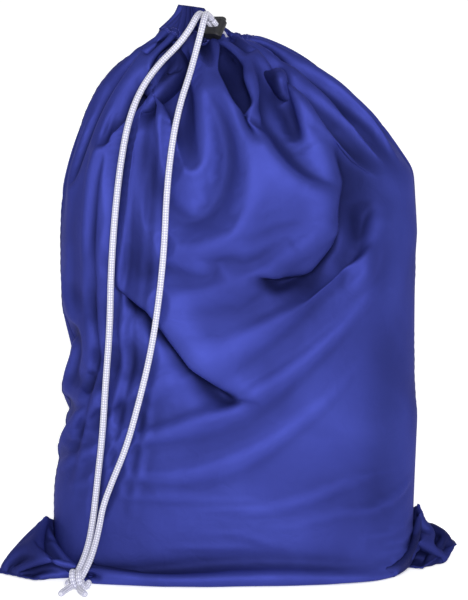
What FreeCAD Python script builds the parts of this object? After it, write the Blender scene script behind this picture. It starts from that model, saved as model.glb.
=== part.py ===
import FreeCAD
import Part
import math
import os

# Drawstring laundry bag, packed full and standing on its base, mouth drawn shut.
# Millimetres, +Z up, front towards -Y, origin on the floor at the centre of the bag's footprint box.

# ---- driving sizes ----
SKIN = 1.4                 # one layer of bag cloth with the room it takes in folds
LOAD_GAP = 0.4             # air between the laundry and the cloth around it
SEAM_DEPTH = 9.0           # how far a sewn seam allowance stands inwards
SEAM_THICK = 2.4           # two allowances and their overlock thread, pressed flat
BODY_TOP = 656.0           # the neck, where the gathered hem begins
CROWN_FOOT = 640.0
LOAD_TOP = 636.0

CORD_D = 8.0               # soft braided cord, lying free
HELD_D = 7.0               # the same cord packed down inside the hem and the lock
CORD_SPREAD = 4.15         # each strand's centreline from the middle of the pair
CORD_CLEAR = 0.4

# Cord lock: barrel axis N, cords run along C, W is across the pair.
C_DIR = FreeCAD.Vector(-0.45, -0.66, 0.60).normalize()
W_DIR = FreeCAD.Vector(0.66, -0.45, 0.0).normalize()
N_DIR = C_DIR.cross(W_DIR).normalize()
HEM_EXIT = FreeCAD.Vector(-13.0, -34.0, 667.0)   # middle of the slit in the hem
LOCK_GAP = 1.5             # lock to hem at rest, and the room left round it
LOCK_W = 24.4
LOCK_C = 13.0
LOCK_LOW = -13.5           # ends of the barrel along its axis, from the cords' plane
LOCK_HIGH = 10.0
LOCK_WALL = 2.0
LOCK_FLOOR = 1.6
LOCK_EDGE = 1.0
LOCK_TRAVEL = 8.0
BUTTON_TRAVEL = 4.0
BUTTON_PROUD = 4.6
PLUNGER_CLEAR = 0.3
PLUNGER_WEB = 2.2
SLOT_W = 2 * CORD_SPREAD + HELD_D + 0.6
SLOT_N = HELD_D + 0.6
SLOT_ROUND = SLOT_N / 2 - 0.2
SPRING_WIRE = 0.7
SPRING_R = 3.0
SPRING_TURNS = 4
SPRING_CLEAR = 0.05
HEM_THREAD = 0.8
HEM_STITCH_LOW = 657.5
HEM_STITCH_HIGH = 660.0
HELD_STRAIGHT = LOCK_GAP + LOCK_C + LOCK_TRAVEL + 0.6
FIRST_RUN = 15.0           # each strand keeps straight this far before it bends over
HEM_RUN = 9.0              # and this far inside the hem, behind the slit

KNOT_AT = FreeCAD.Vector(-183.0, -166.0, 12.5)
KNOT_R = 12.5
KNOT_LENGTH = 37.0
KNOT_DIR = FreeCAD.Vector(0.94, -0.34, 0.0).normalize()

# Level sections of the filled bag: height, middle in X, half width, half depth.
BODY = [(0, 8, 203, 117), (12, 8, 221, 131), (40, 5, 231, 142), (100, 5, 232, 149), (192, 15, 227, 151),
        (268, 13, 220, 150), (344, 9, 225, 149), (420, 11, 226, 146), (496, 11, 219, 137),
        (553, 0, 197, 123), (591, -10, 168, 105), (623, -19, 134, 83), (645, -24, 103, 58),
        (BODY_TOP, -29, 72, 38)]
# Sections of the gathered hem above the neck.
CROWN = [(CROWN_FOOT, -28, 70, 37), (BODY_TOP, -29, 72, 38), (668, -32, 66, 35), (679, -40, 46, 28),
         (689, -45, 28, 19), (699, -47, 12, 10)]
# Bottom corners that stand out past the body: place in X, then middle Y, middle Z, half depth, half height.
LEFT_EAR = [(-140, -14, 54, 62, 53), (-205, -42, 37, 50, 36), (-242, -57, 27, 40, 27),
            (-272, -65, 21, 28, 21), (-285, -67, 18, 18, 15), (-290, -68, 16, 9, 7)]
RIGHT_EAR = [(140, -14, 54, 62, 53), (215, -24, 35, 50, 34), (248, -19, 26, 34, 24),
             (274, -9, 19, 19, 13), (290, -4, 16, 7, 4.5)]
# The front and back cloth meet along this line in plan; it bends with the left corner.
SEAM_LINE = [(-400, -150), (-300, -76), (-214, -8), (-120, 0), (400, 0)]
LEFT_SEAM_Y = -15.0
FAR = 400.0                # beyond the bag on every side
# Boxes that the seam allowances stand in, along the wall: X from and to, middle Y, Z from and to.
SEAMS = {"left_side_seam": (-FAR, -60.0, LEFT_SEAM_Y, 24.0, 630.0),
         "right_side_seam": (60.0, FAR, 0.0, 24.0, 630.0),
         "bottom_seam": (-190.0, 205.0, 0.0, 0.0, 16.0)}
# The room that the laundry leaves for them, in the same terms.
SEAM_ROOMS = [(-FAR, -60.0, LEFT_SEAM_Y, 0.0, 2 * FAR), (60.0, FAR, 0.0, 0.0, 2 * FAR),
              (-210.0, 220.0, 0.0, 0.0, 16.0 + LOAD_GAP)]

# Middle of the cord inside the hem, from the left strand's slit round to the right strand's.
HEM_LOOP = [(-25, -14, 659), (-43, -13, 660), (-58, -4, 661), (-57, 9, 661), (-43, 18, 660),
            (-22, 18, 660), (-3, 15, 661), (9, 5, 661), (8, -10, 660), (0, -21, 660)]
# Free strands, from the held stretch over the top, down the bag's front to the knot.
LEFT_ROUTE = [(-39, -74, 686), (-47, -82, 670), (-62, -83, 650), (-84, -83, 629),
              (-106, -91, 599), (-121, -101, 561), (-130, -111, 512), (-137, -118, 451), (-142, -121, 383),
              (-144, -121, 310), (-150, -117, 240), (-154, -115, 180), (-160, -112, 130), (-164, -113, 94),
              (-167, -121, 69), (-171, -133, 47), (-178, -150, 27)]
RIGHT_ROUTE = [(-29, -79, 686), (-33, -89, 669), (-39, -91, 646), (-47, -103, 616),
               (-58, -118, 583), (-67, -131, 541), (-74, -141, 481), (-77, -146, 411), (-84, -147, 345),
               (-94, -143, 283), (-109, -137, 222), (-124, -131, 168), (-142, -122, 124), (-154, -120, 92),
               (-158, -128, 68), (-163, -140, 47), (-170, -155, 27)]
# Ends of the cord beyond the knot, lying on the floor.
LEFT_TAIL = [(-188, -172, 6), (-197, -186, 4), (-200, -203, 4)]
RIGHT_TAIL = [(-179, -174, 6), (-178, -190, 4), (-170, -205, 4)]


def vec(point):
    return FreeCAD.Vector(*point)


def level_ellipse(z, middle, half_x, half_y):
    x_axis = FreeCAD.Vector(middle + half_x, 0, z)
    y_axis = FreeCAD.Vector(middle, half_y, z)
    centre = FreeCAD.Vector(middle, 0, z)
    return Part.Wire(Part.Ellipse(x_axis, y_axis, centre).toShape())


def upright_ellipse(x, y, z, half_y, half_z):
    """An ellipse in the YZ plane, for the bag's corners."""
    centre = FreeCAD.Vector(x, y, z)
    if half_y >= half_z:
        curve = Part.Ellipse(centre + vec((0, half_y, 0)), centre + vec((0, 0, half_z)), centre)
    else:
        curve = Part.Ellipse(centre + vec((0, 0, half_z)), centre + vec((0, half_y, 0)), centre)
    return Part.Wire(curve.toShape())


def stack(table, inset=0.0, lift=0.0):
    """A solid through level sections, drawn in by inset all round and raised at the bottom by lift."""
    wires = []
    for index, (z, middle, half_x, half_y) in enumerate(table):
        height = z + lift if index == 0 else z
        wires.append(level_ellipse(height, middle, half_x - inset, half_y - inset))
    return Part.makeLoft(wires, True, False)


def block(low, high):
    return Part.makeBox(high[0] - low[0], high[1] - low[1], high[2] - low[2], vec(low))


def seam_box(low_x, high_x, middle_y, low_z, high_z, half):
    """A slab standing along a seam, half its thickness on each side of it."""
    return block((low_x, middle_y - half, low_z), (high_x, middle_y + half, high_z))


def front_half():
    """Everything in front of the seam line."""
    corners = [vec((x, y, -20)) for x, y in SEAM_LINE]
    corners += [vec((FAR, -FAR, -20)), vec((-FAR, -FAR, -20))]
    outline = Part.makePolygon(corners + [corners[0]])
    return Part.Face(outline).extrude(vec((0, 0, 2 * FAR)))


def largest(shape):
    return max(shape.Solids, key=lambda solid: solid.Volume)


def cord_path(points):
    """Straight runs joined by tangent arcs, each arc as large as its two runs allow."""
    edges = []
    start = points[0]
    for before, corner, after in zip(points, points[1:], points[2:]):
        run_in = corner - before
        run_out = after - corner
        turn = run_in.getAngle(run_out)
        reach = 0.45 * min(run_in.Length, run_out.Length)
        radius = reach / math.tan(turn / 2)
        direction_in = FreeCAD.Vector(run_in).normalize()
        direction_out = FreeCAD.Vector(run_out).normalize()
        arc_start = corner - direction_in * reach
        arc_end = corner + direction_out * reach
        to_middle = FreeCAD.Vector(direction_out - direction_in).normalize()
        depth = radius / math.cos(turn / 2) - radius
        arc_middle = corner + to_middle * depth
        edges.append(Part.LineSegment(start, arc_start).toShape())
        edges.append(Part.Arc(arc_start, arc_middle, arc_end).toShape())
        start = arc_end
    edges.append(Part.LineSegment(start, points[-1]).toShape())
    return Part.Wire(edges)


def cord_tube(points, diameter):
    first = FreeCAD.Vector(points[1] - points[0]).normalize()
    profile = Part.Wire(Part.makeCircle(diameter / 2, points[0], first))
    return cord_path(points).makePipeShell([profile], True, False)


def at_lock(shape):
    """Move a shape from the lock's own frame: X across the pair, Y back along the cords, Z up the barrel."""
    turn = FreeCAD.Rotation(W_DIR, C_DIR * -1, N_DIR, "ZXY")
    shape.Placement = FreeCAD.Placement(LOCK_AT, turn).multiply(shape.Placement)
    return shape


def stadium(width, depth, low, high):
    """A round-ended block standing along Z."""
    radius = depth / 2
    flat = width / 2 - radius
    middle = Part.makeBox(2 * flat, depth, high - low, vec((-flat, -radius, low)))
    ends = [Part.makeCylinder(radius, high - low, vec((side * flat, 0, low))) for side in (-1, 1)]
    return middle.fuse(ends).removeSplitter()


def cord_slot(low, high):
    """A round-cornered slot for the pair of strands, right through along Y."""
    slot = Part.makeBox(SLOT_W, 3 * LOCK_C, high - low, vec((-SLOT_W / 2, -1.5 * LOCK_C, low)))
    long_edges = [edge for edge in slot.Edges if abs(edge.tangentAt(0).y) > 0.5]
    return slot.makeFillet(SLOT_ROUND, long_edges)


LOCK_AT = HEM_EXIT + C_DIR * (LOCK_GAP + LOCK_C / 2)
parts = {}

# ---- bag body ----
body = stack(BODY)
hollow = stack(BODY, SKIN, SKIN)
left_ear = Part.makeLoft([upright_ellipse(*row) for row in LEFT_EAR], True, False)
right_ear = Part.makeLoft([upright_ellipse(*row) for row in RIGHT_EAR], True, False)
above_floor = block((-FAR, -FAR, 0), (FAR, FAR, 2 * FAR))
skin = body.fuse([left_ear.common(above_floor), right_ear.common(above_floor)]).cut(hollow)
front = front_half()
parts["front_panel"] = largest(skin.common(front))
parts["back_panel"] = largest(skin.cut(front))

# ---- seam allowances inside the body ----
ring = hollow.cut(stack(BODY, SKIN + SEAM_DEPTH, SKIN + SEAM_DEPTH))
for name, place in SEAMS.items():
    parts[name] = largest(ring.common(seam_box(*place, SEAM_THICK / 2)))

# ---- laundry ----
load = stack(BODY, SKIN + LOAD_GAP, SKIN + LOAD_GAP).common(block((-FAR, -FAR, 0), (FAR, FAR, LOAD_TOP)))
core = stack(BODY, SKIN + SEAM_DEPTH + LOAD_GAP, SKIN + SEAM_DEPTH + LOAD_GAP)
for place in SEAM_ROOMS:
    load = load.cut(seam_box(*place, SEAM_THICK / 2 + LOAD_GAP).cut(core))
parts["laundry_load"] = largest(load)

# ---- cord held in the hem and the lock ----
left_exit = HEM_EXIT - W_DIR * CORD_SPREAD
right_exit = HEM_EXIT + W_DIR * CORD_SPREAD
left_held_end = left_exit + C_DIR * HELD_STRAIGHT
right_held_end = right_exit + C_DIR * HELD_STRAIGHT
held_points = [left_held_end, left_exit - C_DIR * HEM_RUN]
held_points += [vec(point) for point in HEM_LOOP]
held_points += [right_exit - C_DIR * HEM_RUN, right_held_end]
parts["drawcord_mouth_loop"] = cord_tube(held_points, HELD_D)

# ---- gathered hem, with the channel the cord runs in ----
channel = cord_tube(held_points, HELD_D + 2 * CORD_CLEAR)
room_low = (-LOCK_W / 2 - LOCK_GAP, -LOCK_C / 2 - LOCK_TRAVEL - LOCK_GAP, LOCK_LOW - LOCK_GAP)
room_high = (LOCK_W / 2 + LOCK_GAP, LOCK_C / 2 + LOCK_GAP, LOCK_HIGH + BUTTON_PROUD + LOCK_GAP)
lock_room = at_lock(block(room_low, room_high))
crown = stack(CROWN).cut(body).cut(channel).cut(lock_room)
parts["front_hem_casing"] = largest(crown.common(front))
parts["back_hem_casing"] = largest(crown.cut(front))

# ---- stitching ----
hem_band = stack(CROWN, -HEM_THREAD).cut(stack(CROWN)).cut(channel).cut(lock_room)
parts["hem_stitching"] = hem_band.common(block((-FAR, -FAR, HEM_STITCH_LOW), (FAR, FAR, HEM_STITCH_HIGH)))

# ---- cord lock ----
barrel = stadium(LOCK_W, LOCK_C, LOCK_LOW, LOCK_HIGH)
barrel = barrel.makeChamfer(LOCK_EDGE, [edge for edge in barrel.Edges if edge.BoundBox.ZLength < 0.01])
cavity = stadium(LOCK_W - 2 * LOCK_WALL, LOCK_C - 2 * LOCK_WALL, LOCK_LOW + LOCK_FLOOR, LOCK_HIGH + 1)
parts["lock_barrel"] = at_lock(barrel.cut(cavity).cut(cord_slot(-SLOT_N / 2, SLOT_N / 2)))

plunger_w = LOCK_W - 2 * LOCK_WALL - 2 * PLUNGER_CLEAR
plunger_c = LOCK_C - 2 * LOCK_WALL - 2 * PLUNGER_CLEAR
plunger_foot = -SLOT_N / 2 - PLUNGER_WEB
plunger = stadium(plunger_w, plunger_c, plunger_foot, LOCK_HIGH + BUTTON_PROUD)
plunger = plunger.makeChamfer(LOCK_EDGE, [edge for edge in plunger.Edges if edge.BoundBox.ZMin > LOCK_HIGH])
parts["lock_plunger"] = at_lock(plunger.cut(cord_slot(-SLOT_N / 2, SLOT_N / 2 + BUTTON_TRAVEL)))

spring_low = LOCK_LOW + LOCK_FLOOR + SPRING_WIRE / 2 + SPRING_CLEAR
spring_high = plunger_foot - SPRING_WIRE / 2 - SPRING_CLEAR
helix = Part.makeHelix((spring_high - spring_low) / SPRING_TURNS, spring_high - spring_low, SPRING_R)
wire_end = Part.Wire(Part.makeCircle(SPRING_WIRE / 2, vec((SPRING_R, 0, 0)), vec((0, 1, 0))))
spring = Part.Wire(helix.Edges).makePipeShell([wire_end], True, True)
spring.translate(vec((0, 0, spring_low)))
parts["lock_spring"] = at_lock(Part.makeCompound([spring]).Solids[0])

# ---- free strands, knot and tails ----
knot_half = KNOT_DIR * (KNOT_LENGTH / 2 - KNOT_R)
knot = Part.makeCylinder(KNOT_R, 2 * knot_half.Length, KNOT_AT - knot_half, KNOT_DIR)
for end in (KNOT_AT - knot_half, KNOT_AT + knot_half):
    knot = knot.fuse(Part.makeSphere(KNOT_R, end))
parts["end_knot"] = largest(knot.removeSplitter())
for name, side, start, route in (("left_strand", -1, left_held_end, LEFT_ROUTE),
                                 ("right_strand", 1, right_held_end, RIGHT_ROUTE)):
    points = [start, start + C_DIR * FIRST_RUN]
    points += [vec(point) for point in route]
    points.append(KNOT_AT + KNOT_DIR * side * CORD_SPREAD)
    strand = cord_tube(points, CORD_D)
    parts[name] = largest(strand.cut(parts["end_knot"]))
tails = [cord_tube([vec(point) for point in route], CORD_D).cut(parts["end_knot"])
         for route in (LEFT_TAIL, RIGHT_TAIL)]
parts["cord_tails"] = Part.makeCompound([largest(tail) for tail in tails])

os.makedirs("parts", exist_ok=True)
for name, shape in parts.items():
    shape.exportStep(f"parts/{name}.step")
    print(f"{name}: {len(shape.Solids)} solid, valid {shape.isValid()}, volume {shape.Volume / 1000:.1f} cm3")
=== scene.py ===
"""Drawstring laundry bag, filled and standing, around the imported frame. Metres, +Z up, front towards -Y."""
import math

import bpy
import numpy as np
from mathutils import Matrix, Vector


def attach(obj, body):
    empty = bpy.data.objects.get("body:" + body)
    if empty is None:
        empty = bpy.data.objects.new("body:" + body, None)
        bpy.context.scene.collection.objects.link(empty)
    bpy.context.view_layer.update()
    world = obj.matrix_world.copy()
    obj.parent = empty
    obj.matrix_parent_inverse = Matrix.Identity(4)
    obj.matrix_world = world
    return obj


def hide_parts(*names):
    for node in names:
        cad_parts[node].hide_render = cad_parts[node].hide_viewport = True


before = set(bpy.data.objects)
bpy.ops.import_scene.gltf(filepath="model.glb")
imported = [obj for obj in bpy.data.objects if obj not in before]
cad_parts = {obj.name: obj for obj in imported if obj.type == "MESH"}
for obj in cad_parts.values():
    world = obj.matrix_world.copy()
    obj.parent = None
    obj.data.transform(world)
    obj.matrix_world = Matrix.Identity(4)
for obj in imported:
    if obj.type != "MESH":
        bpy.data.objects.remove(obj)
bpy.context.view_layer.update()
MM = 0.001


# ---------------------------------------------------------------- camera, light, floor

CAMERA_TARGET = Vector((0.006, 0.0, 0.331))
CAMERA_DISTANCE = 2.8
CAMERA_ELEVATION = math.radians(7)
CAMERA_LENS = 133.3

ROOM_LIGHT = 0.35
KEY_POWER = 92
FLOOR_GLOW = 0.45          # the floor's own light, which keeps it as bright as a lit backdrop
FLOOR_EDGE = 16.0          # how far the floor reaches to each side and to the front
WALL_AT = 5.0              # where it has become an upright wall, behind the bag
WALL_CURVE = 2.0
WALL_TOP = 9.0


def make_camera():
    data = bpy.data.cameras.new("camera")
    data.lens = CAMERA_LENS
    data.dof.use_dof = False
    camera = bpy.data.objects.new("camera", data)
    bpy.context.collection.objects.link(camera)
    back = Vector((0, -math.cos(CAMERA_ELEVATION), math.sin(CAMERA_ELEVATION)))
    camera.location = CAMERA_TARGET + back * CAMERA_DISTANCE
    camera.rotation_euler = (-back).to_track_quat("-Z", "Y").to_euler()
    bpy.context.scene.camera = camera


def area_light(name, place, aim, size, power):
    data = bpy.data.lights.new(name, "AREA")
    data.shape = "RECTANGLE"
    data.size, data.size_y = size
    data.energy = power
    light = bpy.data.objects.new(name, data)
    bpy.context.collection.objects.link(light)
    light.location = place
    light.rotation_euler = (Vector(aim) - Vector(place)).to_track_quat("-Z", "Y").to_euler()


def make_studio():
    """A low, soft room light, one large light beside the camera, and a pale floor that sweeps up behind."""
    world = bpy.data.worlds.new("studio")
    bpy.context.scene.world = world
    world.use_nodes = True
    background = world.node_tree.nodes["Background"]
    background.inputs["Color"].default_value = (1, 1, 1, 1)
    background.inputs["Strength"].default_value = ROOM_LIGHT
    area_light("key", (0.2, -2.8, 1.2), (0, 0, 0.33), (0.8, 0.8), KEY_POWER)
    outline = [(-FLOOR_EDGE, 0)]
    for angle in np.linspace(0, math.pi / 2, 17):
        rise = WALL_CURVE * (1 - math.cos(angle))
        outline.append((WALL_AT - WALL_CURVE * (1 - math.sin(angle)), rise))
    outline.append((WALL_AT, WALL_TOP))
    points = [(side * FLOOR_EDGE, y, z) for y, z in outline for side in (-1, 1)]
    faces = [(2 * k, 2 * k + 1, 2 * k + 3, 2 * k + 2) for k in range(len(outline) - 1)]
    floor = object_from("floor", points, faces, plain_material("floor", (0.93, 0.93, 0.93), 0.9))
    shader = floor.data.materials[0].node_tree.nodes["Principled BSDF"]
    shader.inputs["Emission Color"].default_value = (1, 1, 1, 1)
    shader.inputs["Emission Strength"].default_value = FLOOR_GLOW
    bpy.context.scene.view_settings.view_transform = "Standard"


# ---------------------------------------------------------------- materials

def srgb(r, g, b):
    """Screen colour, 0 to 255, as scene-linear."""
    out = []
    for value in (r, g, b):
        value /= 255
        out.append(value / 12.92 if value <= 0.04045 else ((value + 0.055) / 1.055) ** 2.4)
    return tuple(out)


def plain_material(name, colour, roughness):
    material = bpy.data.materials.new(name)
    material.use_nodes = True
    shader = material.node_tree.nodes["Principled BSDF"]
    shader.inputs["Base Color"].default_value = (*colour, 1)
    shader.inputs["Roughness"].default_value = roughness
    return material


class Nodes:
    """A material's node tree, with short ways to add what the materials here need."""

    def __init__(self, material):
        self.tree = material.node_tree
        self.shader = self.tree.nodes["Principled BSDF"]

    def node(self, kind, values=None, **settings):
        node = self.tree.nodes.new("ShaderNode" + kind)
        for name, value in settings.items():
            setattr(node, name, value)
        for key, value in (values or {}).items():
            if hasattr(value, "is_output"):
                self.tree.links.new(value, node.inputs[key])
            else:
                node.inputs[key].default_value = value
        return node

    def flat(self):
        """Place on the piece's own surface, in metres."""
        return self.node("UVMap", uv_map="flat").outputs["UV"]

    def solid(self):
        """Place in the frame, in metres."""
        return self.node("TexCoord").outputs["Object"]

    def noise(self, place, scale, detail=3.0, distortion=0.0):
        values = {"Vector": place, "Scale": scale, "Detail": detail, "Distortion": distortion}
        return self.node("TexNoise", values).outputs["Fac"]

    def maths(self, operation, first, second=0.0):
        return self.node("Math", {0: first, 1: second}, operation=operation).outputs["Value"]

    def ramp(self, value, low, high, colours):
        """A colour for a value, from colours spread evenly between low and high."""
        node = self.node("ValToRGB", {"Fac": value})
        elements = node.color_ramp.elements
        while len(elements) < len(colours):
            elements.new(0.5)
        for k, (element, colour) in enumerate(zip(elements, colours)):
            element.position = low + (high - low) * k / (len(colours) - 1)
            element.color = (*colour, 1)
        return node.outputs["Color"]

    def spread(self, value, low, high):
        """A value from 0 to 1 stretched to run from low to high."""
        return self.node("MapRange", {"Value": value, "To Min": low, "To Max": high}).outputs["Result"]

    def bump(self, height, distance, strength=1.0, under=None):
        values = {"Height": height, "Distance": distance, "Strength": strength}
        if under is not None:
            values["Normal"] = under
        return self.node("Bump", values).outputs["Normal"]

    def set(self, name, value):
        if hasattr(value, "is_output"):
            self.tree.links.new(value, self.shader.inputs[name])
        else:
            self.shader.inputs[name].default_value = value


def weave(nodes, place, pitch):
    """Height of a plain weave: threads over and under at right angles."""
    parts = nodes.node("SeparateXYZ", {"Vector": place})
    turns = [nodes.maths("SINE", nodes.maths("MULTIPLY", parts.outputs[axis], 2 * math.pi / pitch))
             for axis in ("X", "Y")]
    return nodes.maths("MULTIPLY", *turns)


WEAVE_PITCH = 1.1 * MM
CREASE_SHADE_PAINT = 0.62         # how much of its colour the nylon loses deep in a crease, as painted shade


def nylon_material(name, shades):
    """Coated bag nylon: a fine weave, small crumples, soft shine, uneven dye, painted shade in creases and a
    little painted light on the crowns.
    """
    material = plain_material(name, shades[1], 0.6)
    nodes = Nodes(material)
    place = nodes.flat()
    dye = nodes.ramp(nodes.noise(place, 7.0, 4.0, 0.5), 0.3, 0.7, shades)
    # painted shade and painted light, kept on the panels as a point attribute, scale the dye colour
    shade_and_light = nodes.node("Attribute", attribute_name="shade_and_light_paint").outputs["Fac"]
    left = nodes.maths("SUBTRACT", 1.0, nodes.maths("MULTIPLY", shade_and_light, CREASE_SHADE_PAINT))
    painted_dye = nodes.node("VectorMath", {0: dye, "Scale": left}, operation="SCALE")
    nodes.set("Base Color", painted_dye.outputs["Vector"])
    nodes.set("Roughness", nodes.spread(nodes.noise(place, 23.0), 0.56, 0.68))
    nodes.set("Metallic", 0.55)
    nodes.set("Specular IOR Level", 0.2)
    nodes.set("Specular Tint", (0.25, 0.25, 0.6, 1))
    crumples = nodes.bump(nodes.noise(place, 45.0, 5.0, 0.9), 0.0016, 0.5)
    nodes.set("Normal", nodes.bump(weave(nodes, place, WEAVE_PITCH), 0.00012, 0.35, crumples))
    return material


def thread_material():
    material = plain_material("thread", srgb(58, 62, 140), 0.6)
    nodes = Nodes(material)
    place = nodes.solid()
    shades = (srgb(44, 48, 118), srgb(62, 66, 148), srgb(84, 88, 172))
    nodes.set("Base Color", nodes.ramp(nodes.noise(place, 900.0, 2.0), 0.35, 0.65, shades))
    nodes.set("Normal", nodes.bump(nodes.noise(place, 2500.0, 2.0), 0.0002, 0.6))
    return material


def cord_material():
    """Soft white braid: bright crowns, the gaps between the strands greyed with painted shade, a little
    fluff.
    """
    material = plain_material("cord", srgb(205, 205, 216), 0.85)
    nodes = Nodes(material)
    parts = nodes.node("SeparateXYZ", {"Vector": nodes.flat()})
    turns = []
    for sign in ("ADD", "SUBTRACT"):
        diagonal = nodes.maths(sign, parts.outputs["X"], parts.outputs["Y"])
        turns.append(nodes.maths("SINE", nodes.maths("MULTIPLY", diagonal, math.pi)))
    braid = nodes.spread(nodes.maths("MULTIPLY", *turns), 0.15, 0.85)
    fluff = nodes.noise(nodes.solid(), 1400.0, 4.0)
    mixed = nodes.maths("ADD", nodes.maths("MULTIPLY", braid, 0.7), nodes.maths("MULTIPLY", fluff, 0.3))
    # the grey end of the ramp is painted shade in the gaps between the braid's strands
    shades = (srgb(138, 138, 160), srgb(196, 196, 212), srgb(216, 216, 226))
    nodes.set("Base Color", nodes.ramp(mixed, 0.2, 0.7, shades))
    nodes.set("Sheen Weight", 0.3)
    nodes.set("Normal", nodes.bump(mixed, 0.0008, 0.7))
    return material


def washing_material():
    """Cotton washing, seen only down the mouth: pale, crumpled, terry-like."""
    material = plain_material("washing", srgb(205, 200, 190), 0.95)
    nodes = Nodes(material)
    place = nodes.solid()
    shades = (srgb(176, 182, 192), srgb(205, 200, 190), srgb(222, 220, 214))
    nodes.set("Base Color", nodes.ramp(nodes.noise(place, 14.0, 2.0, 1.0), 0.35, 0.65, shades))
    folds = nodes.bump(nodes.noise(place, 30.0, 4.0, 1.5), 0.006, 0.8)
    nodes.set("Normal", nodes.bump(nodes.noise(place, 900.0, 2.0), 0.0006, 0.5, folds))
    return material


def moulded_plastic(name, shades, roughness):
    """Moulded plastic with a spark-eroded grain, a little dull and pale where it is handled."""
    material = plain_material(name, shades[0], roughness)
    nodes = Nodes(material)
    place = nodes.solid()
    nodes.set("Base Color", nodes.ramp(nodes.noise(place, 160.0, 4.0), 0.35, 0.75, shades))
    nodes.set("Roughness", nodes.spread(nodes.noise(place, 300.0), roughness - 0.08, roughness + 0.1))
    nodes.set("Normal", nodes.bump(nodes.noise(place, 3200.0, 2.0), 0.00015, 0.35))
    return material


def steel_material():
    material = plain_material("spring_wire", srgb(190, 190, 186), 0.3)
    nodes = Nodes(material)
    place = nodes.solid()
    nodes.set("Metallic", 1.0)
    nodes.set("Roughness", nodes.spread(nodes.noise(place, 700.0), 0.22, 0.42))
    shades = (srgb(150, 148, 142), srgb(196, 196, 192))
    nodes.set("Base Color", nodes.ramp(nodes.noise(place, 500.0), 0.35, 0.65, shades))
    return material


def object_from(name, points, faces, material):
    mesh = bpy.data.meshes.new(name)
    mesh.from_pydata([tuple(point) for point in points], [], [tuple(face) for face in faces])
    mesh.update()
    mesh.shade_smooth()
    mesh.materials.append(material)
    piece = bpy.data.objects.new(name, mesh)
    bpy.context.collection.objects.link(piece)
    return piece


def corners_of(piece):
    """The index of the point at each corner of each face."""
    corners = np.zeros(len(piece.data.loops), int)
    piece.data.loops.foreach_get("vertex_index", corners)
    return corners


def set_map(piece, places):
    """Give a piece its surface map: a place for each corner of each face."""
    piece.data.uv_layers.new(name="flat").data.foreach_set("uv", places.ravel())


def stand_in(piece, node):
    """Let a visible piece take the place of a CAD node on the bag's body."""
    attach(piece, "bag")
    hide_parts(node)


# ---------------------------------------------------------------- cords

CORD_D = 8 * MM
C_DIR = Vector((-0.45, -0.66, 0.60)).normalized()       # the pair of cords' way out through the lock
W_DIR = Vector((0.66, -0.45, 0.0)).normalized()         # across the pair, level
N_DIR = C_DIR.cross(W_DIR)                              # along the lock
HEM_EXIT = Vector((-13, -34, 667)) * MM
HELD_STRAIGHT = 23.1 * MM  # from the hem's exit through the lock, to where a free strand begins
FIRST_RUN = 15 * MM        # of a free strand, before it turns over
CORD_SPREAD = 4.15 * MM    # of each cord's middle from the middle of the pair
KNOT_AT = Vector((-183, -166, 12.5)) * MM
KNOT_DIR = Vector((0.94, -0.34, 0.0)).normalized()

# The cord's routes, point by point as in the part, in mm.
LEFT_ROUTE = [
    (-39, -74, 686), (-47, -82, 670), (-62, -83, 650), (-84, -83, 629), (-106, -91, 599),
    (-121, -101, 561), (-130, -111, 512), (-137, -118, 451), (-142, -121, 383), (-144, -121, 310),
    (-150, -117, 240), (-154, -115, 180), (-160, -112, 130), (-164, -113, 94), (-167, -121, 69),
    (-171, -133, 47), (-178, -150, 27),
]
RIGHT_ROUTE = [
    (-29, -79, 686), (-33, -89, 669), (-39, -91, 646), (-47, -103, 616), (-58, -118, 583),
    (-67, -131, 541), (-74, -141, 481), (-77, -146, 411), (-84, -147, 345), (-94, -143, 283),
    (-109, -137, 222), (-124, -131, 168), (-142, -122, 124), (-154, -120, 92), (-158, -128, 68),
    (-163, -140, 47), (-170, -155, 27),
]


def in_metres(route):
    return [Vector(point) * MM for point in route]


def smooth_line(points):
    """Points along the NURBS spline that has the given control points."""
    data = bpy.data.curves.new("route", "CURVE")
    data.dimensions = "3D"
    data.resolution_u = 12
    spline = data.splines.new("NURBS")
    spline.points.add(len(points) - 1)
    for target, point in zip(spline.points, points):
        target.co = (*point, 1)
    spline.order_u = 3
    spline.use_endpoint_u = True
    curve = bpy.data.objects.new("route", data)
    mesh = bpy.data.meshes.new_from_object(curve)
    line = np.array([vertex.co for vertex in mesh.vertices])
    bpy.data.objects.remove(curve)
    bpy.data.curves.remove(data)
    bpy.data.meshes.remove(mesh)
    return line


def even_line(line, step):
    """The same line with points a set distance apart."""
    runs = np.linalg.norm(np.diff(line, axis=0), axis=1)
    along = np.concatenate([[0], np.cumsum(runs)])
    count = max(2, int(round(along[-1] / step)) + 1)
    places = np.linspace(0, along[-1], count)
    return np.stack([np.interp(places, along, line[:, k]) for k in range(3)], axis=1)


NO_START = (0.3, 0.2, 0.93)          # a direction that no line here starts along


def rings_along(line, around):
    """Angles round a line, and the directions at those angles from each of its points, without twist."""
    tangents = np.gradient(line, axis=0)
    tangents /= np.linalg.norm(tangents, axis=1)[:, None]
    side = np.cross(tangents[0], NO_START)
    side /= np.linalg.norm(side)
    sides = []
    for tangent in tangents:
        side = side - tangent * np.dot(side, tangent)
        side /= np.linalg.norm(side)
        sides.append(side)
    sides = np.array(sides)[:, None]
    ups = np.cross(tangents[:, None], sides)
    angles = np.linspace(0, 2 * math.pi, around, endpoint=False)
    return angles, np.cos(angles)[None, :, None] * sides + np.sin(angles)[None, :, None] * ups


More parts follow.
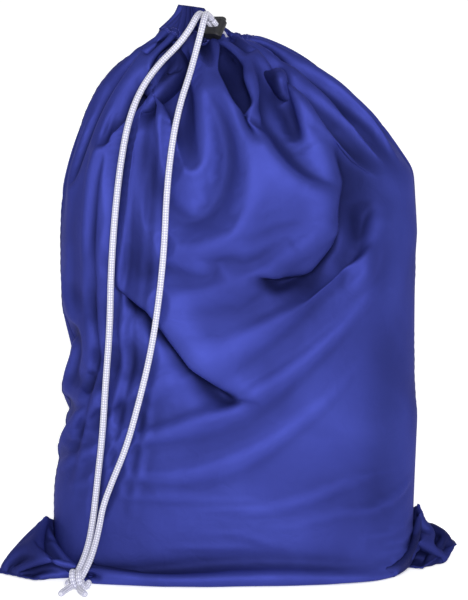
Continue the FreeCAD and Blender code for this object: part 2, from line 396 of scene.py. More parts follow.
def tube_faces(rows, around, first=0):
    """The faces of a closed tube: rings of points joined in turn, and a cap at each end."""
    faces = []
    for low in range(first, first + (rows - 1) * around, around):
        for k in range(around):
            following = (k + 1) % around
            faces.append((low + k, low + following, low + around + following, low + around + k))
    last = first + (rows - 1) * around
    faces.append(tuple(reversed(range(first, first + around))))
    faces.append(tuple(range(last, last + around)))
    return faces


BRAID_STRANDS = 8
BRAID_PITCH = 3.2          # in diameters
BRAID_STEP = 1.0 * MM      # between its rings of points
BRAID_AROUND = 20          # points in a ring


def braided_tube(name, line, diameter, material):
    """A soft braid: a tube whose surface rises and falls in crossing diagonal strands."""
    line = even_line(line, BRAID_STEP)
    around = BRAID_AROUND
    angles, ring = rings_along(line, around)
    places = np.arange(len(line)) * BRAID_STEP / (BRAID_PITCH * diameter)
    half = BRAID_STRANDS / 2
    turns = 2 * math.pi * places[:, None]
    over = np.sin(half * (angles[None] + turns)) * np.sin(half * (angles[None] - turns))
    radius = diameter / 2 * (0.955 + 0.06 * over)
    from_end = np.minimum(np.arange(len(line)), np.arange(len(line))[::-1]) * BRAID_STEP
    radius *= np.sqrt(np.clip(from_end / (0.3 * diameter), 0.15, 1))[:, None]
    points = (line[:, None] + radius[..., None] * ring).reshape(-1, 3)
    piece = object_from(name, points, tube_faces(len(line), around), material)
    # One unit of the map is one diamond of the braid, along and around.
    corners = corners_of(piece)
    places_at = places[corners // around] * BRAID_STRANDS
    turns_at = (corners % around) / around * BRAID_STRANDS
    # The last face round each ring ends at a whole turn, not back at none.
    wrapped = np.zeros(len(corners), bool)
    quads = corners[:4 * (len(line) - 1) * around].reshape(-1, 4) % around
    wrapped[:quads.size] = ((quads == 0) & (quads.max(1) == around - 1)[:, None]).ravel()
    turns_at[wrapped] = BRAID_STRANDS
    set_map(piece, np.stack([places_at, turns_at], -1))
    return piece, line


def strand(name, side, route, material):
    """One free cord from the lock to the knot, and the line down its middle."""
    start = HEM_EXIT + W_DIR * side * CORD_SPREAD + C_DIR * HELD_STRAIGHT
    points = [start, start + C_DIR * FIRST_RUN]
    points += in_metres(route)
    points.append(KNOT_AT + KNOT_DIR * side * CORD_SPREAD)
    return braided_tube(name, smooth_line(points), CORD_D, material)


HELD_D = 7 * MM            # the cord is packed down inside the hem
SLIT_RUN = 9 * MM          # straight on into the hem, behind its exit
# Middle of the cord inside the hem, from the left strand's slit round to the right strand's.
HEM_LOOP = [
    (-25, -14, 659), (-43, -13, 660), (-58, -4, 661), (-57, 9, 661), (-43, 18, 660), (-22, 18, 657),
    (-3, 15, 655), (9, 5, 654), (8, -10, 654), (0, -21, 657),
]
LEFT_TAIL = [
    (-185, -167, 10), (-188, -172, 6), (-197, -186, 4), (-200, -203, 4),
]
RIGHT_TAIL = [
    (-180, -168, 10), (-179, -174, 6), (-178, -190, 4), (-170, -205, 4),
]
KNOT_TURNS = 1.25
KNOT_STEPS = 8             # points in a turn
KNOT_START = 0.6           # the way that the middle of the wrap faces, in radians from upright
KNOT_WRAP = 9.0 * MM       # of the wrapped cords' middles from the knot's axis


def held_loop(material):
    """The stretch of cord inside the hem, between its two ends in the lock."""
    ends = [HEM_EXIT + W_DIR * side * CORD_SPREAD for side in (-1, 1)]
    points = [ends[0] + C_DIR * HELD_STRAIGHT, ends[0] - C_DIR * SLIT_RUN]
    points += in_metres(HEM_LOOP)
    points += [ends[1] - C_DIR * SLIT_RUN, ends[1] + C_DIR * HELD_STRAIGHT]
    return braided_tube("mouth_loop", smooth_line(points), HELD_D, material)[0]


def joined(name, pieces):
    """Several mesh objects as one."""
    with bpy.context.temp_override(active_object=pieces[0], selected_editable_objects=pieces):
        bpy.ops.object.join()
    pieces[0].name = name
    return pieces[0]


def knot(material):
    """Both cords' ends wrapped round each other and drawn tight."""
    up = Vector((0, 0, 1))
    aside = KNOT_DIR.cross(up)
    turns = [k / KNOT_STEPS - KNOT_TURNS / 2 for k in range(round(KNOT_TURNS * KNOT_STEPS) + 1)]
    pieces = []
    for side in (-1, 1):
        points = []
        for turn in turns:
            angle = 2 * math.pi * turn + KNOT_START
            reach = KNOT_WRAP * (0.5 if turn in (turns[0], turns[-1]) else 1)
            along = side * CORD_SPREAD + 2 * CORD_D * turn
            outward = up * math.cos(angle) + aside * math.sin(angle)
            points.append(KNOT_AT + KNOT_DIR * along + outward * reach)
        pieces.append(braided_tube("wrap", smooth_line(points), CORD_D, material)[0])
    return joined("knot", pieces)


def tails(material):
    """The two ends of the cord beyond the knot."""
    lines = [smooth_line(in_metres(route)) for route in (LEFT_TAIL, RIGHT_TAIL)]
    return joined("tails", [braided_tube("tail", line, CORD_D, material)[0] for line in lines])


# ---------------------------------------------------------------- cloth

FLAT_WIDTH = 0.610
FLAT_HEIGHT = 0.914
HEADING = 0.030            # cloth above the cord
COARSE_COLUMNS = 52        # across one panel in the first, quick relaxation
HEM_LOW = 0.866            # where the folded hem is sewn down, up the flat cloth
NECK_AT = np.array((-0.026, -0.0015, 0.6605))
NECK_TILT = math.radians(8)
NECK_RADII = (0.042, 0.031)
NECK_FLARE = 0.013         # the bunch spreads further out on the left
PLEATS = 34
PLEAT_DEPTH = 0.0055
PEAK_AT = np.array((-0.042, 0.004, 0.697))      # where the standing part of the ruffle comes together
PEAK_CLOSED = 0.68         # how much narrower the ruffle is there
# The rest of the ruffle is turned in over the cord: share of the heading, way out, and way up.
TURNED_IN = np.array([(0, 0, 0), (0.2, -0.0005, 0.005), (0.4, -0.0045, 0.0065), (0.6, -0.008, 0.0025),
                      (1, -0.0095, -0.009)])
# The sewn bottom corners stand out as ears, left and right: the tip, where the ear's upper edge meets the
# bag, and where its lower edge does.
EARS = np.array([((-0.285, -0.090, 0.003), (-0.228, -0.060, 0.066), (-0.236, -0.128, 0.003)),
                 ((0.289, -0.006, 0.018), (0.240, -0.012, 0.072), (0.240, -0.070, 0.003))])
EAR_SWELL = np.array([(-0.003, 0, 0.002), (-0.005, 0, -0.011)])      # of the middle of each upper edge
EAR_EDGE = 0.086           # length of each edge on the flat cloth
CORNER_AT = 0.29           # of the bottom corners from the middle, before the cloth settles

# The washing that fills the bag, as level sections: height, middle in X, half width, half depth, squareness.
LOAD = np.array([(0, 6, 208, 128, 4.5), (12, 7, 219, 136, 4.2), (40, 5, 227, 141, 3.3),
                 (100, 7, 228, 144, 2.6), (192, 18, 220, 146, 2.4), (268, 23, 203, 145, 2.4),
                 (344, 18, 212, 144, 2.4), (420, 23, 214, 141, 2.3), (496, 25, 207, 132, 2.2),
                 (553, 14, 178, 117, 2.1), (591, -3, 142, 97, 2), (623, -19, 94, 70, 2),
                 (645, -31, 61, 44, 2), (656, -38, 40, 26, 2)])
LOAD[:, :4] *= MM
LOAD_TOP = 0.640
CLOTH_LOW = 0.001          # the lowest that cloth can lie
UNDER_LOAD = 0.0025        # the height of cloth under the load
BASE_ROUND = 0.016         # below this, and well inside the outline, cloth goes under the load
DOME_AT = np.array((0.017, -0.005, 0.590))      # a round lump under the right shoulder
DOME = np.array((0.063, 0.066, 0.056))

LEVELS = np.linspace(0, 0.656, 329)


def level_table(column):
    """One column of the load's sections, softened between its rows."""
    values = np.interp(LEVELS, LOAD[:, 0], LOAD[:, column])
    for _ in range(30):
        values[1:-1] = 0.25 * values[:-2] + 0.5 * values[1:-1] + 0.25 * values[2:]
    return values


SECTIONS = [level_table(column) for column in (1, 2, 3, 4)]
SLOPES = [np.gradient(values, LEVELS) for values in SECTIONS]


def section_at(height):
    """Middle, half width, half depth and squareness of the load at a height."""
    return [np.interp(height, LEVELS, values) for values in SECTIONS]


def squared(angles, square):
    """How far out a section of the given squareness reaches at some angles, where a circle reaches 1."""
    return (np.abs(np.sin(angles)) ** square + np.abs(np.cos(angles)) ** square) ** (-1 / square)


def push_out(cloth):
    """Move points out of the load, its dome and the floor. Returns which points touched."""
    x, y, z = cloth[..., 0], cloth[..., 1], cloth[..., 2]
    level = np.clip(z, 0.003, LOAD_TOP)
    middle, half_x, half_y, square = section_at(level)
    across, back = (x - middle) / half_x, y / half_y
    share = (np.abs(across) ** square + np.abs(back) ** square + 1e-12) ** (1 / square)
    hit = (share < 1) & (z < LOAD_TOP) & (z > UNDER_LOAD)
    under = hit & (z < BASE_ROUND) & (share < 0.95)
    side = hit & ~under
    middle_slope, x_slope, y_slope, _ = (np.interp(level[side], LEVELS, values) for values in SLOPES)
    ex, ey, hx, hy = across[side], back[side], half_x[side], half_y[side]
    n, far = square[side], share[side]
    lean_x = np.sign(ex) * np.abs(ex / far) ** (n - 1)
    lean_y = np.sign(ey) * np.abs(ey / far) ** (n - 1)
    gradient = np.stack([lean_x / hx, lean_y / hy,
                         -lean_x * (middle_slope + ex * x_slope) / hx - lean_y * ey * y_slope / hy], -1)
    cloth[side] += gradient * ((1 - far) / (gradient ** 2).sum(-1))[:, None]
    cloth[under, 2] = UNDER_LOAD
    local = (cloth - DOME_AT) / DOME
    far = np.sqrt((local ** 2).sum(-1)) + 1e-9
    inside = far < 1
    gradient = local[inside] / DOME / far[inside][:, None]
    cloth[inside] += gradient * ((1 - far[inside]) / (gradient ** 2).sum(-1))[:, None]
    low = z < CLOTH_LOW
    cloth[low, 2] = CLOTH_LOW
    return hit | inside | low


def wrapped_cloth(columns, rows):
    """First guess: two flat panels, sewn at the sides, laid round the load from the bottom seam up."""
    index = np.arange(2 * columns)
    across = np.where(index <= columns, index, 2 * columns - index) / columns * 2 - 1
    side = np.where(index <= columns, -1.0, 1.0)
    side[[0, columns]] = 0
    base = SECTIONS[2][0]
    heights = np.linspace(0.002, LEVELS[-1], 400)
    runs = np.hypot(np.diff(heights), np.diff(section_at(heights)[2]))
    along = np.concatenate([[0], np.cumsum(runs)])
    wall = FLAT_HEIGHT - HEADING - base
    cloth = np.zeros((2 * columns, rows, 3))
    for row, up in enumerate(np.linspace(0, FLAT_HEIGHT, rows)):
        share = min(up / base, 1)
        corner = (1 - share) * CORNER_AT * across
        height = np.interp(min(max(up - base, 0), wall) * along[-1] / wall, along, heights)
        middle, half_x, half_y, square = section_at(height)
        angle = across * math.pi / 2
        reach = squared(angle, square)
        cloth[:, row, 0] = share * (middle + half_x * reach * np.sin(angle)) + corner
        cloth[:, row, 1] = share * side * half_y * reach * np.cos(angle)
        cloth[:, row, 2] = height + (1 - share) * 0.2 * np.maximum(0, np.abs(cloth[:, row, 0]) - 0.2)
    return cloth


def smoothstep(low, high, value):
    share = np.clip((value - low) / (high - low), 0, 1)
    return share * share * (3 - 2 * share)


def gathered_neck(columns, rows, step):
    """Where the rows at and above the cord are held: pleats packed round a small tilted ring.

    Above the cord the ruffle stands up and closes to a peak on the left and at the back. On the right
    it is turned in over the cord.
    """
    around = np.arange(2 * columns) / columns * math.pi
    phase = around * PLEATS + 1.2 * np.sin(3 * around + 0.5) + 0.8 * np.sin(7 * around + 1.0)
    outwards = np.stack([-np.cos(around), -np.sin(around), np.zeros_like(around)], -1)
    depth = PLEAT_DEPTH * (1 + 0.25 * np.sin(5 * around + 0.3)) * np.sin(phase)
    depth *= 1 - 0.5 * smoothstep(0.3, 0.8, outwards[:, 0])
    flare = NECK_FLARE * smoothstep(0.35, 1.0, -outwards[:, 0])
    ring = outwards * (np.array([*NECK_RADII, 0]) + (depth * (1 + 30 * flare))[:, None])
    spread = outwards * flare[:, None]
    tilt = np.array([[math.cos(NECK_TILT), 0, -math.sin(NECK_TILT)], [0, 1, 0],
                     [math.sin(NECK_TILT), 0, math.cos(NECK_TILT)]])
    ring = NECK_AT + ring @ tilt
    fallen = smoothstep(0.58, 0.98, outwards[:, 0] - 0.15 * outwards[:, 1])[:, None]
    wave = 0.10 * np.sin(9 * around + 0.7) + 0.06 * np.sin(17 * around)
    held = {}
    for row in range(round((FLAT_HEIGHT - HEADING) / step), rows):
        above = row * step - FLAT_HEIGHT + HEADING
        share = min(above / HEADING, 1)
        middle = NECK_AT + (PEAK_AT - NECK_AT) * share
        standing = middle + (ring - NECK_AT) * (1 - PEAK_CLOSED * share + (wave * share)[:, None])
        standing += spread * (1 - share) ** 2.2
        out, up = (np.interp(share, TURNED_IN[:, 0], TURNED_IN[:, k]) for k in (1, 2))
        turned = ring + outwards * out + np.array([0, 0, up])
        held[row] = standing * (1 - fallen) + turned * fallen
    return held


def draw(cloth, first, second, length, strength=1.0, only_short=False):
    """Move two sets of the cloth's points to keep them a set length apart."""
    apart = cloth[second] - cloth[first]
    now = np.sqrt((apart ** 2).sum(-1)) + 1e-9
    share = (now - length) / now * 0.5 * strength
    if only_short:
        share = np.where(now < length, share, 0)
    move = apart * share[..., None]
    cloth[first] += move
    cloth[second] -= move


RUB = 0.35                 # how much of its speed cloth keeps where it touches


def relax(cloth, step, rounds, held, gravity, bending, keep=0.92):
    """Let the cloth settle: threads keep their length, folds resist a little, load and floor push back."""
    count, rows, _ = cloth.shape
    everyone = np.arange(count)
    pairs = [(everyone[k::2], (everyone[k::2] + 1) % count) for k in (0, 1)]
    wide_pairs = [(picked, (picked + 2) % count)
                  for picked in (everyone[everyone % 4 < 2], everyone[everyone % 4 > 1])]
    levels = np.arange(rows - 2)
    tall_pairs = [levels[levels % 4 < 2], levels[levels % 4 > 1]]
    sewn_to = (count - everyone) % count
    whole = slice(None)
    diagonal = step * math.sqrt(2)
    ear_rows = round(EAR_EDGE / step) + 1
    ear_share = np.linspace(0, 1, ear_rows)[:, None]
    before = cloth.copy()
    for _ in range(rounds):
        speed = (cloth - before) * keep
        before = cloth.copy()
        cloth += speed
        cloth[..., 2] -= gravity
        for a, b in pairs:
            draw(cloth, a, b, step)
        for k in (0, 1):
            draw(cloth, (whole, slice(k, rows - 1, 2)), (whole, slice(k + 1, None, 2)), step)
        for a, b in pairs + [(b, a) for a, b in pairs]:
            draw(cloth, (a, slice(None, -1)), (b, slice(1, None)), diagonal, 0.5)
        for a, b in wide_pairs:
            draw(cloth, a, b, 2 * step, bending, True)
        for a in tall_pairs:
            draw(cloth, (whole, a), (whole, a + 2), 2 * step, bending, True)
        cloth[:, 0] = 0.5 * (cloth[:, 0] + cloth[sewn_to, 0])
        for column, way, (tip, top, base), swell in zip((0, count // 2), (1, -1), EARS, EAR_SWELL):
            cloth[column, :ear_rows] = tip + (top - tip) * ear_share
            cloth[column, :ear_rows] += swell * np.sin(math.pi * ear_share)
            for turn in (way, -way):
                columns = (column + turn * np.arange(ear_rows)) % count
                cloth[columns, 0] = tip + (base - tip) * ear_share
        touched = push_out(cloth)
        for row, target in held.items():
            cloth[:, row] = target
        before[touched] = cloth[touched] - (cloth[touched] - before[touched]) * RUB
    return cloth


def finer(cloth):
    """The same cloth with a point added between each two."""
    wide = np.zeros((2 * cloth.shape[0], *cloth.shape[1:]))
    wide[::2] = cloth
    wide[1::2] = 0.5 * (cloth + np.roll(cloth, -1, 0))
    fine = np.zeros((wide.shape[0], 2 * wide.shape[1] - 1, 3))
    fine[:, ::2] = wide
    fine[:, 1::2] = 0.5 * (wide[:, :-1] + wide[:, 1:])
    return fine


def settle_cloth():
    """Both panels as one closed grid: settled roughly, made finer, settled again and brought to rest."""
    columns = COARSE_COLUMNS
    step = FLAT_WIDTH / columns
    rows = round(FLAT_HEIGHT / step) + 1
    cloth = wrapped_cloth(columns, rows)
    cloth += np.random.default_rng(7).normal(0, 0.0006, cloth.shape)
    held = gathered_neck(columns, rows, step)
    cloth = relax(cloth, step, 600, held, gravity=4e-6, bending=0.10)
    cloth = finer(cloth)
    columns, step, rows = 2 * columns, step / 2, cloth.shape[1]
    held = gathered_neck(columns, rows, step)
    cloth = relax(cloth, step, 300, held, gravity=8e-7, bending=0.08)
    return relax(cloth, step, 60, held, gravity=0.0, bending=0.08, keep=0.5)


def between(values):
    """The points half way between neighbours along the first axis, on a smooth curve through them."""
    first = 2 * values[:1] - values[1:2]
    last = 2 * values[-1:] - values[-2:-1]
    wide = np.concatenate([first, values, last])
    return (9 * (wide[1:-2] + wide[2:-1]) - wide[:-3] - wide[3:]) / 16


def rounded_finer(grid):
    """An open grid of points with a point added between each two, on smooth curves."""
    wide = np.zeros((2 * grid.shape[0] - 1, *grid.shape[1:]))
    wide[::2] = grid
    wide[1::2] = between(grid)
    fine = np.zeros((wide.shape[0], 2 * wide.shape[1] - 1, 3))
    fine[:, ::2] = wide
    fine[:, 1::2] = between(wide.swapaxes(0, 1)).swapaxes(0, 1)
    return fine


def grid_normals(grid):
    along = np.gradient(grid, axis=0)
    up = np.gradient(grid, axis=1)
    normals = np.cross(along, up)
    return normals / (np.linalg.norm(normals, axis=-1, keepdims=True) + 1e-12)


CORD_GAP = 0.6 * MM        # between a strand and the cloth under it
VALLEY_ROUND = 18 * MM     # radius of the valley that a strand presses into the cloth


def clear_of_cord(grid, line):
    """Press the cloth in under a cord that lies on it, as a soft valley."""
    samples = even_line(line, 4 * MM)
    middle, half_x, half_y, _ = section_at(np.clip(samples[:, 2], 0.01, LOAD_TOP))
    outward = np.stack([(samples[:, 0] - middle) / half_x ** 2, samples[:, 1] / half_y ** 2, 0 * middle], -1)
    outward /= np.linalg.norm(outward, axis=1)[:, None]
    near = (grid[..., 1] < -0.02) & (grid[..., 2] > 0.03) & (grid[..., 0] < 0.03)
    points = grid[near]
    best = np.full(len(points), 9.0)
    chosen = np.zeros(len(points), int)
    for index, sample in enumerate(samples):
        gap = ((points - sample) ** 2).sum(-1)
        closer = gap < best
        best[closer] = gap[closer]
        chosen[closer] = index
    height = ((points - samples[chosen]) * outward[chosen]).sum(-1)
    aside = np.sqrt(np.maximum(best - height ** 2, 0))
    limit = -(CORD_D / 2 + CORD_GAP) + aside ** 2 / (2 * VALLEY_ROUND)
    sink = np.maximum(height - limit, 0) * (1 - smoothstep(0.016, 0.03, aside))
    points -= outward[chosen] * sink[:, None]
    grid[near] = points
    return grid


def fold(grid, route, ridge, valley, width, opening, overlap):
    """How cloth moves at a fold: out along its ridge, in along its valley, and the ridge leans over it.

    The route is given as (x, z) on the front, with the ridge on its left. The valley's far side is
    `opening` times as wide. Returns the lift off the surface and the shift in x and z.
    """
    route = np.array(route) * MM
    width = width * MM
    x, z = grid[..., 0], grid[..., 2]
    best = np.full(x.shape, 9.0)
    signed = np.zeros(x.shape)
    place = np.zeros(x.shape)
    lean = np.zeros(x.shape + (2,))
    runs = np.linalg.norm(np.diff(route, axis=0), axis=1)
    done = 0.0
    for (x0, z0), (x1, z1), run in zip(route, route[1:], runs):
        along = np.clip(((x - x0) * (x1 - x0) + (z - z0) * (z1 - z0)) / run ** 2, 0, 1)
        off = np.stack([x - x0 - along * (x1 - x0), z - z0 - along * (z1 - z0)], -1)
        gap = np.hypot(off[..., 0], off[..., 1])
        closer = gap < best
        side = np.sign((x1 - x0) * (z - z0) - (z1 - z0) * (x - x0))
        best = np.where(closer, gap, best)
        signed = np.where(closer, side * gap, signed)
        place = np.where(closer, (done + along * run) / runs.sum(), place)
        across = np.array([z1 - z0, x0 - x1]) / run
        towards = (across * MM - off * side[..., None]) / (gap + MM)[..., None]
        lean[closer] = towards[closer]
        done += run
    ends = smoothstep(0, 0.25, place) * (1 - smoothstep(0.7, 1.0, place)) * MM
    away = signed / width
    spread = np.where(away > -0.6, 1.0, opening)
    lift = ridge * np.exp(-((away - 1.3) / 1.4) ** 2) - valley * np.exp(-((away + 0.6) / spread) ** 2)
    shift = overlap * np.exp(-((away - 0.7) / 1.0) ** 2)
    return lift * ends, lean * (shift * ends)[..., None]


# Folds on the front: route as (x, z), ridge, valley, width, opening and overlap, all in mm but the opening.
FRONT_FOLDS = [
    ([(-165, 388), (-136, 366), (-95, 336), (-75, 312), (-43, 270), (-5, 243), (44, 220)], 7, 14, 15, 1.4, 5),
    ([(-155, 380), (-136, 366), (-95, 336), (-75, 312), (-43, 270), (-5, 243), (52, 214)], 3, 11, 7, 1.8, 6),
    ([(40, 372), (95, 385), (128, 430), (136, 490), (118, 545), (85, 575)], 8, 12, 14, 3.5, 6),
    ([(20, 380), (60, 372), (95, 385), (122, 415), (136, 460)], 3, 12, 6, 1.6, 5),
    ([(190, 470), (170, 412), (140, 355)], 7, 9, 9, 2.2, 3),
    ([(-45, 640), (-66, 612), (-86, 580), (-100, 545)], 4, 18, 12, 1.3, 5),
    ([(10, 640), (16, 610), (32, 565), (48, 535)], 5, 12, 8, 1.6, 3),
    ([(62, 640), (70, 600), (82, 560), (94, 520)], 4, 8, 8, 1.6, 2),
]
# Places on the front, as middle X and Z, half width and half height in mm. Broad hollows, with their depth,
# which is negative for a swelling.
FRONT_HOLLOWS = [(178, 470, 42, 75, 12), (-110, 400, 16, 190, 6), (80, 378, 42, 32, 6),
                 (185, 105, 30, 60, 6), (-5, 628, 24, 14, 8), (-66, 606, 18, 26, 7),
                 (28, 575, 14, 22, 8), (163, 394, 16, 32, -6), (-30, 400, 45, 80, -5)]
# Places on the front darkened with painted shade, and how much.
SHADE_PATCHES = [(162, 475, 42, 65, 0.8), (192, 190, 24, 140, 0.45), (-108, 400, 22, 200, 0.5),
          (78, 378, 45, 34, 0.45), (20, 570, 26, 34, 0.3)]
# Where the small settled wrinkles give way to a lasting fold.
CALM = [(-60, 290, 120, 75), (150, 465, 42, 38)]
WIDE_ROUNDS = 60           # of smoothing, which take away everything narrower than some centimetres
SIDE_PLEAT = 2.5 * MM      # height of the fine pleats down the left side


def patch(grid, at_x, at_z, half_width, half_height):
    """1 in the middle of a place on the front, falling off round it."""
    return np.exp(-((grid[..., 0] - at_x) / half_width) ** 2 - ((grid[..., 2] - at_z) / half_height) ** 2)


def softened(grid):
    """The grid with its small wrinkles and folds smoothed away."""
    wide = grid.copy()
    for _ in range(WIDE_ROUNDS):
        wide[1:-1] = 0.25 * wide[:-2] + 0.5 * wide[1:-1] + 0.25 * wide[2:]
        wide[:, 1:-1] = 0.25 * wide[:, :-2] + 0.5 * wide[:, 1:-1] + 0.25 * wide[:, 2:]
    return wide


def dressed_front(grid):
    """The front panel with its lasting folds and the fine pleats down its left side."""
    calm = np.zeros(grid.shape[:2])
    for place in np.array(CALM) * MM:
        calm += patch(grid, *place)
    calm = np.clip(1.1 * calm, 0, 0.9)[..., None]
    grid = grid * (1 - calm) + softened(grid) * calm
    normals = grid_normals(grid)
    lift = np.zeros(grid.shape[:2])
    shift = np.zeros(grid.shape)
    for values in FRONT_FOLDS:
        out, lean = fold(grid, *values)
        lift += out
        shift[..., [0, 2]] += lean
    for *place, depth in np.array(FRONT_HOLLOWS) * MM:
        lift -= depth * patch(grid, *place)
    x, z = grid[..., 0], grid[..., 2]
    middle, half_x, _, _ = section_at(z)
    across = (x - middle) / half_x * 0.21 + 5 * MM * np.sin(9 * z + 1.0) + 1.5 * MM * np.sin(31 * z)
    pleats = np.sin(2 * math.pi * across / 0.023) + 0.4 * np.sin(2 * math.pi * across / 0.0141 + 4 * z)
    left = smoothstep(-0.215, -0.18, x) * (1 - smoothstep(-0.13, -0.07, x))
    lift += SIDE_PLEAT * pleats * left * smoothstep(0.06, 0.2, z) * (1 - smoothstep(0.52, 0.60, z))
    return grid + normals * lift[..., None] + shift


CREASE_DEPTH = 7 * MM      # below the cloth around it, where the painted shade of a crease is at its darkest


def painted_shade_and_light(grid):
    """How much painted shade each point gets, from 0 to 1, and a little below 0 for painted light on the
    crowns.

    Shade is painted below the cloth around it, in the bottom corners, at the neck and in the shade patches.
    """
    wide = softened(grid)
    below = ((wide - grid) * grid_normals(wide)).sum(-1)
    x, z = grid[..., 0], grid[..., 2]
    # painted shade in hollows below the cloth around it, painted light on the crowns
    deep = np.clip(below / CREASE_DEPTH, -0.25, 1)
    # painted shade in the bottom corners
    deep += 0.7 * smoothstep(0.205, 0.24, np.abs(x)) * (1 - smoothstep(0.05, 0.09, z))
    # painted shade near the neck, where the cloth is bunched
    deep += 0.25 * smoothstep(0.59, 0.64, z)
    front = 1 - smoothstep(-0.06, 0.0, grid[..., 1])
    # painted shade in the listed patches on the front
    for *place, amount in SHADE_PATCHES:
        deep += amount * patch(grid / MM, *place) * front
    return np.clip(deep, -0.25, 1)


# The room that the lock needs outside the hem's exit: half its width, its two ends, and its way out.
LOCK_HALF = 13.5 * MM
LOCK_ENDS = (-15 * MM, 16 * MM)
LOCK_OUT = 26 * MM


def clear_of_lock(grid):
    """Keep the cloth behind the cord lock."""
    local = grid - np.array(HEM_EXIT)
    across, along, up = (local @ np.array(direction) for direction in (W_DIR, C_DIR, N_DIR))
    inside = (np.abs(across) < LOCK_HALF) & (up > LOCK_ENDS[0]) & (up < LOCK_ENDS[1])
    inside &= (along > 0) & (along < LOCK_OUT)
    grid[inside] -= np.array(C_DIR) * along[inside][:, None]
    return grid


def grid_faces(count, rows, first=0, flip=False):
    """The faces of a sheet whose points are listed column by column."""
    faces = []
    for column in range(count - 1):
        for low in range(first + column * rows, first + (column + 1) * rows - 1):
            faces.append((low, low + rows, low + rows + 1, low + 1))
    return [tuple(reversed(face)) for face in faces] if flip else faces


def map_flat(piece, flat_places):
    """Give a piece the places of its points on the flat cloth, in metres, as its surface map."""
    set_map(piece, flat_places[corners_of(piece)])


def flat_grid(count, rows, low=0.0):
    """Where a panel's points are on the flat cloth, from some height up."""
    widths = np.linspace(0, FLAT_WIDTH, count)
    heights = np.linspace(low, FLAT_HEIGHT, rows)
    return np.stack(np.meshgrid(widths, heights, indexing="ij"), -1).reshape(-1, 2)


def panel(name, grid, material):
    """One cloth panel as a mesh."""
    count, rows, _ = grid.shape
    piece = object_from(name, grid.reshape(-1, 3), grid_faces(count, rows), material)
    map_flat(piece, flat_grid(count, rows))
    # painted shade and painted light for the nylon's colour
    layer = piece.data.attributes.new("shade_and_light_paint", "FLOAT", "POINT")
    layer.data.foreach_set("value", painted_shade_and_light(grid).ravel())
    return piece


HEM_OFF = 0.15 * MM        # of the hem's inner side from the panel
HEM_THICK = 0.9 * MM       # of its outer side at the edges
HEM_SWELL = 0.5 * MM       # and so much more in the middle


def hem(name, grid, material):
    """The folded hem: a second layer of cloth sewn outside the panel's top edge, with its own thickness."""
    first = round(HEM_LOW / FLAT_HEIGHT * (grid.shape[1] - 1))
    normals = grid_normals(grid)[:, first:]
    band = grid[:, first:]
    count, rows, _ = band.shape
    swell = HEM_THICK + HEM_SWELL * np.sin(np.linspace(0, math.pi, rows))[None, :, None]
    inner, outer = band + normals * HEM_OFF, band + normals * swell
    size = count * rows
    faces = grid_faces(count, rows, 0, True) + grid_faces(count, rows, size)
    rim = [i * rows for i in range(count)] + [(count - 1) * rows + j for j in range(1, rows)]
    rim += [i * rows + rows - 1 for i in reversed(range(count - 1))] + list(reversed(range(1, rows - 1)))
    faces += [(a, b, size + b, size + a) for a, b in zip(rim, rim[1:] + rim[:1])]
    piece = object_from(name, np.concatenate([inner, outer]).reshape(-1, 3), faces, material)
    flat = flat_grid(count, rows, HEM_LOW)
    map_flat(piece, np.concatenate([flat, flat]))
    return piece


def soft_tubes(name, lines, radii, material, around=6):
    """Closed tubes along lines, with a radius for each point of each line."""
    points = []
    faces = []
    for line, radius in zip(lines, radii):
        _, ring = rings_along(line, around)
        first = sum(len(part) for part in points)
        points.append((line[:, None] + radius[:, None, None] * ring).reshape(-1, 3))
        faces += tube_faces(len(line), around, first)
    return object_from(name, np.concatenate(points), faces, material)


STITCH = 3.4 * MM          # one stitch and its gap
STITCH_GAP = 0.9 * MM
THREAD_R = 0.38 * MM
STITCH_ROWS = ((HEM_LOW + 0.003, 1.2 * MM), (HEM_LOW + 0.009, 1.4 * MM))      # height, and lift off the cloth


def stitches(line, normals):
    """The visible lengths of thread along a line on the cloth, each dipping in at its ends."""
    runs = np.concatenate([[0], np.cumsum(np.linalg.norm(np.diff(line, axis=0), axis=1))])
    starts = np.arange(0, runs[-1] - STITCH, STITCH)
    places = starts[:, None] + np.linspace(0, STITCH - STITCH_GAP, 5)[None]
    on_line = np.stack([np.interp(places, runs, line[:, k]) for k in range(3)], -1)
    outward = np.stack([np.interp(places, runs, normals[:, k]) for k in range(3)], -1)
    lift = THREAD_R * np.array([-0.6, 0.7, 1.0, 0.7, -0.6])
    return list(on_line + outward * lift[None, :, None])


WELT_R = 1.25 * MM
WELT_LOW = 1.7 * MM        # the lowest that its middle can lie
WELT_STEP = 3 * MM
WELT_AROUND = 8


def seam_welt(name, line, material):
    """The edge where two panels are sewn: a narrow roll of cloth, puckered by its stitches."""
    line = even_line(line, WELT_STEP)
    line[:, 2] = np.maximum(line[:, 2], WELT_LOW)
    place = np.arange(len(line)) * WELT_STEP
    radius = WELT_R * (1 + 0.18 * np.sin(place / 0.0017) + 0.12 * np.sin(place / 0.0061 + 1))
    piece = soft_tubes(name, [line], [radius], material, around=WELT_AROUND)
    around = np.tile(np.arange(WELT_AROUND) * MM, len(line))
    map_flat(piece, np.stack([around, np.repeat(place, WELT_AROUND)], -1))
    return piece


WASHING_SHARE = 0.81       # of the form that the cloth lies on


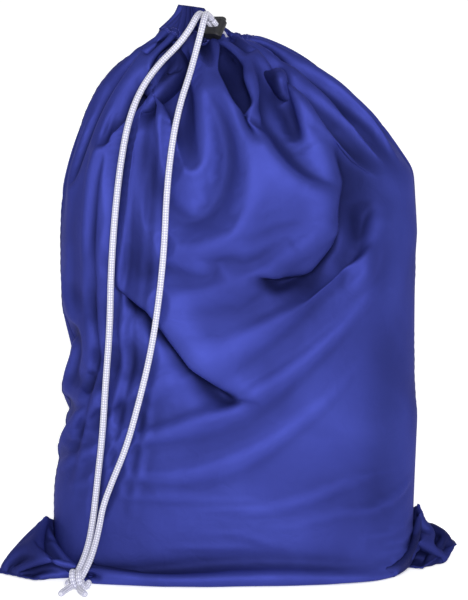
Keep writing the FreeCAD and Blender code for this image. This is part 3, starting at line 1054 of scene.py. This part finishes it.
def laundry(material):
    """The washing inside: the soft form that the cloth lies on, a little smaller."""
    heights = np.concatenate([[0.004, 0.008, 0.016], np.linspace(0.03, 0.585, 60), [0.596, 0.602]])
    angles = np.linspace(0, 2 * math.pi, 96, endpoint=False)
    points = []
    for height in heights:
        middle, half_x, half_y, square = section_at(height)
        lumps = np.sin(5 * angles + 23 * height) * np.sin(31 * height + 2 * np.sin(3 * angles))
        reach = squared(angles, square) * (WASHING_SHARE + 0.015 * lumps)
        points += [(middle + half_x * r * math.cos(a), half_y * r * math.sin(a), height)
                   for a, r in zip(angles, reach)]
    piece = object_from("laundry", points, tube_faces(len(heights), len(angles)), material)
    stand_in(piece, "laundry_load")


def make_bag(cord_lines):
    """The two panels, their hems, stitches and seams, and the washing inside."""
    cloth = settle_cloth()
    columns = cloth.shape[0] // 2
    front = rounded_finer(cloth[:columns + 1])
    back = rounded_finer(np.concatenate([cloth[columns:], cloth[:1]]))
    front = dressed_front(front)
    for line in cord_lines:
        front = clear_of_cord(front, line)
    front = clear_of_lock(front)
    back[0], back[-1] = front[-1], front[0]
    back[:, 0] = front[::-1, 0]
    nylon = nylon_material("nylon", (srgb(42, 48, 112), srgb(48, 55, 126), srgb(54, 62, 138)))
    doubled = nylon_material("nylon_seam", (srgb(38, 43, 102), srgb(43, 49, 114), srgb(48, 55, 124)))
    thread = thread_material()
    pieces = {}
    for side, grid in (("front", front), ("back", back)):
        pieces[side] = panel(side + "_cloth", grid, nylon)
        pieces[side + "_hem"] = hem(side + "_hem", grid, doubled)
        stand_in(pieces[side], side + "_panel")
        stand_in(pieces[side + "_hem"], side + "_hem_casing")
    threads = []
    for grid in (front, back):
        normals = grid_normals(grid)
        for height, lift in STITCH_ROWS:
            row = round(height / FLAT_HEIGHT * (grid.shape[1] - 1))
            threads += stitches(grid[:, row] + normals[:, row] * lift, normals[:, row])
    profile = THREAD_R * np.array([0.5, 0.9, 1.0, 0.9, 0.5])
    pieces["hem_stitches"] = soft_tubes("hem_stitches", threads, [profile] * len(threads), thread)
    stand_in(pieces["hem_stitches"], "hem_stitching")
    seams = (("left_seam", front[0], "left_side_seam"),
             ("right_seam", front[-1], "right_side_seam"),
             ("base_seam", front[:, 0], "bottom_seam"))
    for name, line, node in seams:
        pieces[name] = seam_welt(name, line, doubled)
        stand_in(pieces[name], node)
    laundry(washing_material())


def make_cords():
    """The drawcord: two free strands, the knot that joins them, its tails and the stretch inside the hem.

    Returns the lines down the middle of the two strands.
    """
    braid = cord_material()
    lines = []
    ends = [knot(braid), tails(braid)]
    for piece, node in zip(ends + [held_loop(braid)], ("end_knot", "cord_tails", "drawcord_mouth_loop")):
        stand_in(piece, node)
    for side, route, node in ((-1, LEFT_ROUTE, "left_strand"), (1, RIGHT_ROUTE, "right_strand")):
        piece, path = strand(node.replace("strand", "cord"), side, route, braid)
        stand_in(piece, node)
        lines.append(path)
    return lines


def finish_cad_nodes():
    """The cord lock's moulded and wire parts keep their CAD shape."""
    barrel_black = (srgb(20, 20, 24), srgb(34, 34, 38))
    button_black = (srgb(26, 26, 30), srgb(44, 44, 48))
    finishes = {"lock_barrel": moulded_plastic("lock_barrel_black", barrel_black, 0.42),
                "lock_plunger": moulded_plastic("lock_button_black", button_black, 0.36),
                "lock_spring": steel_material()}
    for name, material in finishes.items():
        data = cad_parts[name].data
        data.materials.clear()
        data.materials.append(material)


make_camera()
make_studio()
strand_lines = make_cords()
finish_cad_nodes()
make_bag(strand_lines)
